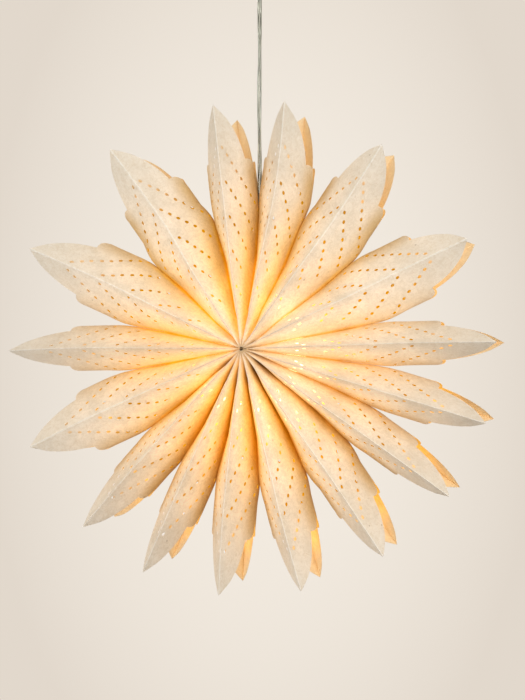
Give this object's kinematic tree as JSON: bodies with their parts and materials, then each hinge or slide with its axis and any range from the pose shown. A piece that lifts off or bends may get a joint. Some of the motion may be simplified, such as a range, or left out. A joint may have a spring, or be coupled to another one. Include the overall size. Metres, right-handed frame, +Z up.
{
  "type": "moravian star pendant",
  "caption": "Folded paper star pendant lamp: hollow perforated rays round a small lamp holder and bulb, on a clear cord below a ceiling cup.",
  "frame": {"origin": "middle of the ceiling cup's ceiling face", "axes": "+Z up into the ceiling; the star hangs below and faces -Y; +X to the right seen from the front"},
  "size_m": [0.5998, 0.136, 0.8178],
  "materials": {
    "paper": "handmade cream paper with fibres, lit from inside",
    "pad_fabric": "white hook-and-loop pad",
    "white_plastic": "satin white",
    "white_cup": "gloss white",
    "core_plastic": "matt heat-resistant",
    "plated_steel": "zinc plated",
    "brass": "bright",
    "lead_sleeve": "soft insulation",
    "clear_cord": "clear jacket over twisted silvery cores",
    "bulb_glass": "clear",
    "filament": "glowing",
    "black_glass": "glossy"
  },
  "bodies": {
    "ceiling": {"ceiling_cup": "white_cup", "ceiling_bracket": "plated_steel", "cup_side_screws": "plated_steel", "cup_grip_body": "white_plastic", "cup_grip_nut": "white_plastic", "cord_tail": "clear_cord", "cord_tail_leads": "lead_sleeve", "terminal_block": "white_plastic", "terminal_tubes": "brass", "terminal_screws": "plated_steel"},
    "cord": {"pendant_cord": "clear_cord"},
    "star": {"ray_01": "paper", "ray_02": "paper", "ray_03": "paper", "ray_04": "paper", "ray_05": "paper", "ray_06": "paper", "ray_07": "paper", "ray_08": "paper", "ray_09": "paper", "ray_10": "paper", "ray_11": "paper", "ray_12": "paper", "ray_13": "paper", "ray_14": "paper", "ray_15": "paper", "ray_16": "paper", "seam_pad_loop_front": "pad_fabric", "seam_pad_loop_back": "pad_fabric", "seam_pad_hook_front": "pad_fabric", "seam_pad_hook_back": "pad_fabric", "lamp_holder_shell": "white_plastic", "lamp_holder_cap": "white_plastic", "cord_grip_nut": "white_plastic", "cord_grip_screw": "plated_steel", "holder_core": "core_plastic", "holder_screw_sleeve": "brass", "holder_centre_contact": "brass", "holder_terminal_screws": "brass", "holder_leads": "lead_sleeve", "star_carrier": "plated_steel"},
    "bulb": {"bulb_contact": "plated_steel", "bulb_insulator": "black_glass", "bulb_screw_cap": "plated_steel", "bulb_glass": "bulb_glass", "bulb_stem": "bulb_glass", "bulb_filaments": "filament"}
  },
  "joints": [
    {"name": "pendant_swing", "type": "hinge", "parent": "ceiling", "child": "cord", "pos_m": [0, 0, -0.066], "axis": [0, 1, 0], "range_deg": [-12, 12]},
    {"name": "star_turn", "type": "hinge", "parent": "cord", "child": "star", "pos_m": [0, 0, -0.4], "axis": [0, 0, 1], "range_deg": [-90, 90], "stiffness_Nm_per_rad": 0.002},
    {"name": "bulb_unscrew", "type": "slide", "parent": "star", "child": "bulb", "axis": [0, 0, -1], "range_m": [0, 0.014]}
  ]
}
